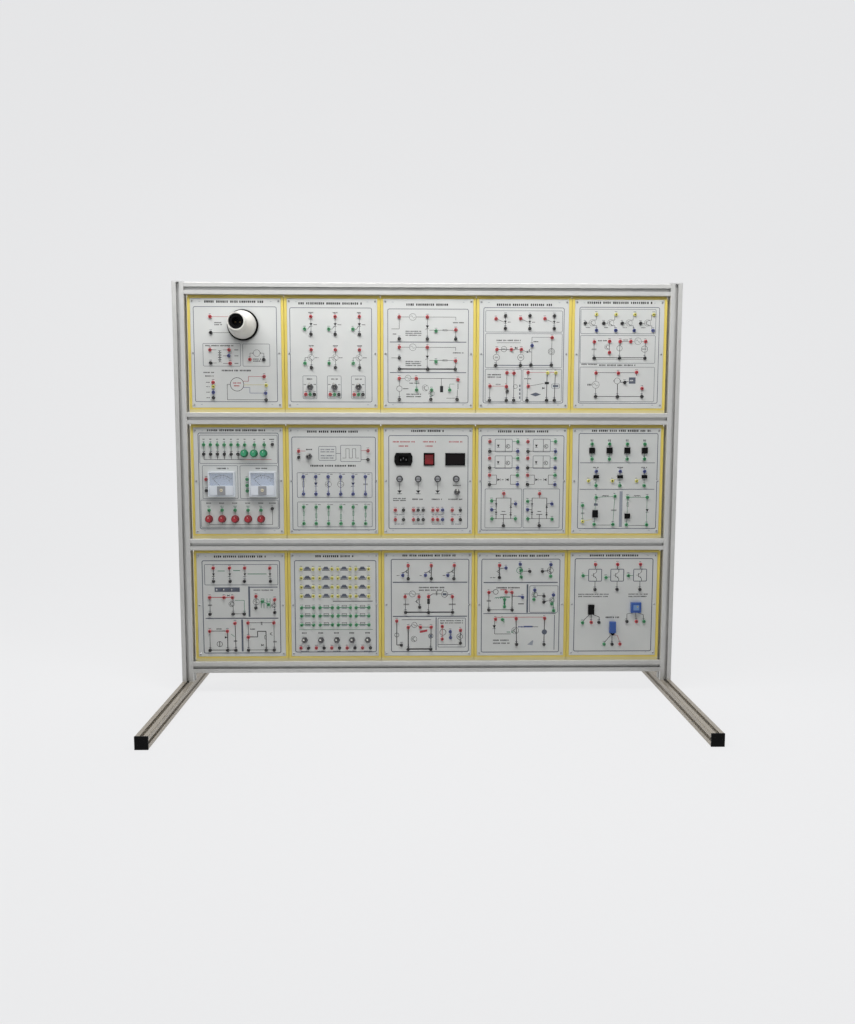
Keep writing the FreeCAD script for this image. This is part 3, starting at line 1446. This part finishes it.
def hole_cutter(diameter, point):
    """A round cutter right through a plate."""
    start = point - vector(0, size.cut_margin, 0)
    length = size.plate_thickness + 2 * size.cut_margin
    return Part.makeCylinder(float(diameter) / 2, float(length), start, vector(0, 1, 0))


def slab_cutter(width, height, point):
    """A rectangular cutter right through a plate."""
    corner = point - vector(width / 2, size.cut_margin, height / 2)
    length = size.plate_thickness + 2 * size.cut_margin
    return Part.makeBox(float(width), float(length), float(height), corner)


def cutters_for(row, column):
    """Every cutter of one plate."""
    gap = 2 * size.hole_clearance
    cutters = []
    shank = size.socket_shank_diameter + gap
    for colour in SOCKET_COLOURS:
        for x, y in SOCKETS[(row, column)].get(colour, ()):
            cutters.append(hole_cutter(shank, panel_vector(row, column, x, y)))
        if (row, column) == TOGGLE_SOCKET_PANEL:
            cutters += [hole_cutter(shank, point) for point in toggle_socket_points(colour)]
        if (row, column) == METER_PANEL:
            cutters += [hole_cutter(shank, point) for point in meter_socket_points(colour)]
    for toggle_row, toggle_column, x, y in TOGGLES:
        if (toggle_row, toggle_column) == (row, column):
            point = panel_vector(row, column, x, y)
            cutters.append(hole_cutter(size.toggle_bushing_diameter + gap, point))
    if (row, column) == METER_PANEL:
        for x, y in GREEN_KNOBS + RED_KNOBS:
            point = panel_vector(row, column, x, y)
            cutters.append(hole_cutter(size.pot_bushing_diameter + gap, point))
        for x, y in METERS:
            point = panel_vector(row, column, x, y)
            cutters.append(hole_cutter(size.meter_barrel_diameter + gap, point))
    if (row, column) == SUPPLY_PANEL:
        for x, y in FUSES:
            point = panel_vector(row, column, x, y)
            cutters.append(hole_cutter(size.fuse_sleeve_diameter + gap, point))
        inlet = panel_vector(row, column, *INLET)
        cutters.append(slab_cutter(size.inlet_body_width + gap, size.inlet_body_height + gap, inlet))
        for side in (-1, 1):
            beside = inlet + vector(side * size.inlet_screw_pitch / 2, 0, 0)
            cutters.append(hole_cutter(size.screw_diameter + gap, beside))
        step = 2 * size.rocker_frame_step
        cutters.append(slab_cutter(size.rocker_bezel_width - step + gap,
                                   size.rocker_bezel_height - step + gap,
                                   panel_vector(row, column, *ROCKER)))
        step = 2 * size.display_step
        cutters.append(slab_cutter(size.display_width - step + gap,
                                   size.display_height - step + gap,
                                   panel_vector(row, column, *DISPLAY)))
    return cutters


def make_modules():
    """Trays, drilled plates, screws and boards of all the panels."""
    corners = [corner_vector(row, column) for row, column in every_panel()]
    copies("module_trays", make_tray(), corners)

    blank = make_plate_blank()
    plates = []
    for row, column in every_panel():
        plate = blank.Shape.copy()
        plate.translate(corner_vector(row, column))
        plates += plate.cut(cutters_for(row, column)).Solids
    loose_solids("front_plates", plates)

    screw = make_screw()
    spots = []
    for corner in corners:
        for x, z in screw_spots():
            spots.append(corner + vector(x, 0, z))
    inlet = panel_vector(*SUPPLY_PANEL, *INLET)
    for side in (-1, 1):
        spots.append(inlet + vector(side * size.inlet_screw_pitch / 2, -size.inlet_flange, 0))
    copies("plate_screws", screw, spots)

    margin = 2 * size.board_margin
    board = face_pad("board", size.plate_width - margin, size.plate_height - margin,
                     size.board_front, size.board_front + size.board_thickness,
                     size.plate_width / 2, -size.plate_height / 2)
    copies("circuit_boards", board, corners)


def make_sockets():
    socket = make_socket()
    for colour in SOCKET_COLOURS:
        copies(colour + "_sockets", socket, socket_points(colour))


def at_panel(label, things, panel, spot, y=0.0):
    """A sub-part set on a panel, at a distance behind the plate's front."""
    x, z = panel_spot(*panel, *spot)
    return group(label, things, x, size.face_y + y, z)


def make_controls():
    """Everything that turns or tilts, and what carries it."""
    case, pot_nut = make_potentiometer()
    knob_spots = [panel_vector(*METER_PANEL, *spot) for spot in GREEN_KNOBS + RED_KNOBS]
    pots = doc.addObject("Part::Compound", "one_potentiometer")
    pots.Links = [case, pot_nut]
    doc.recompute()
    copies("potentiometer_bodies", pots, knob_spots)
    knob = make_knob()
    for colour, spots in (("green", GREEN_KNOBS), ("red", RED_KNOBS)):
        for index, spot in enumerate(spots):
            at_panel("%s_knob_%d" % (colour, index + 1), list(knob), METER_PANEL, spot)

    toggle = doc.addObject("Part::Compound", "one_toggle")
    toggle.Links = list(make_toggle_body())
    doc.recompute()
    copies("toggle_bodies", toggle, [panel_vector(*item) for item in TOGGLES])
    lever = make_toggle_lever()
    lever.Placement = FreeCAD.Placement(vector(0, 0, 0), vector(1, 0, 0), 0)
    drive(lever, "Placement.Rotation.Angle", -size.toggle_tilt)
    for index, (row, column, x, y) in enumerate(TOGGLES):
        at_panel("toggle_lever_%d" % (index + 1), [lever], (row, column), (x, y),
                 -size.toggle_pivot_height)

    holder = doc.addObject("Part::Compound", "one_fuse_holder")
    holder.Links = list(make_fuse_holder())
    doc.recompute()
    fuse_spots = [panel_vector(*SUPPLY_PANEL, *spot) for spot in FUSES]
    copies("fuse_holder_bodies", holder, fuse_spots)
    cap = make_fuse_cap()
    for index, spot in enumerate(FUSES):
        at_panel("fuse_cap_%d" % (index + 1), list(cap), SUPPLY_PANEL, spot)

    at_panel("rocker_frame", [make_rocker_frame()], SUPPLY_PANEL, ROCKER)
    button = make_rocker_button()
    button.Placement = FreeCAD.Placement(vector(0, 0, 0), vector(1, 0, 0), 0)
    drive(button, "Placement.Rotation.Angle", size.rocker_tilt)
    at_panel("rocker_button", [button], SUPPLY_PANEL, ROCKER, size.rocker_pivot_depth)


def make_instruments():
    """Analogue meters, digital display and mains inlet."""
    case, dial, window = make_meter()
    spots = [panel_vector(*METER_PANEL, *spot) for spot in METERS]
    copies("meter_housings", case, spots)
    copies("meter_dials", dial, spots)
    needle = make_needle()
    needle.Placement = FreeCAD.Placement(vector(0, 0, 0), vector(0, 1, 0), 0)
    drive(needle, "Placement.Rotation.Angle", -size.needle_angle)
    for name, spot in zip(METER_NAMES, METERS):
        x, z = panel_spot(*METER_PANEL, *spot)
        group("meter_needle_" + name, [needle], x, size.face_y, z - size.meter_pivot_drop)

    housing, glass = make_display()
    at_panel("display_housing", [housing], SUPPLY_PANEL, DISPLAY)
    panes = []
    for pane, point in [(window, spots[0]), (window, spots[1]),
                        (glass, panel_vector(*SUPPLY_PANEL, *DISPLAY))]:
        moved = pane.Shape.Solids[0].copy()
        moved.translate(point)
        panes.append(moved)
    loose_solids("instrument_windows", panes)

    inlet, blades = make_inlet()
    at_panel("mains_inlet", [inlet], SUPPLY_PANEL, INLET)
    at_panel("inlet_pins", blades, SUPPLY_PANEL, INLET)


def make_devices():
    """Lamp holder, devices on the plates and the supply's transformer."""
    base, contacts = make_lamp_holder()
    at_panel("lamp_holder_base", [base], LAMP_PANEL, LAMP)
    at_panel("lamp_holder_plungers", contacts, LAMP_PANEL, LAMP)
    at_panel("lamp_holder_shell", [make_lamp_shell()], LAMP_PANEL, LAMP)

    blocks = []
    for devices, out in ((BLACK_DEVICES, size.device_height), (BLUE_SENSORS, size.sensor_height)):
        for row, column, x, y, width, height in devices:
            block = device_block(width, height, out)
            block.translate(panel_vector(row, column, x, y))
            blocks += block.Solids
    loose_solids("panel_devices", blocks)

    back = size.tray_depth - size.tray_back
    at_panel("supply_transformer", list(make_transformer()), SUPPLY_PANEL, TRANSFORMER, back)


def check_document():
    """Stop on a failed object or on a sub-part whose shape is missing or faulty."""
    for thing in doc.Objects:
        if "Invalid" in thing.State or "Error" in thing.State:
            raise RuntimeError("%s failed: %s" % (thing.Label, thing.State))
    for thing in NODES:
        if thing.Shape.isNull() or not thing.Shape.isValid() or not thing.Shape.Solids:
            raise RuntimeError("%s has no valid shape" % thing.Label)


def write_nodes():
    os.makedirs("parts", exist_ok=True)
    for thing in NODES:
        thing.Shape.exportStep(os.path.join("parts", thing.Label + ".step"))
        print("%-22s %3d solids" % (thing.Label, len(thing.Shape.Solids)))


fill_sheet()
make_frame()
make_frame_hardware()
make_modules()
make_sockets()
make_controls()
make_instruments()
make_devices()
doc.recompute()
check_document()
write_nodes()
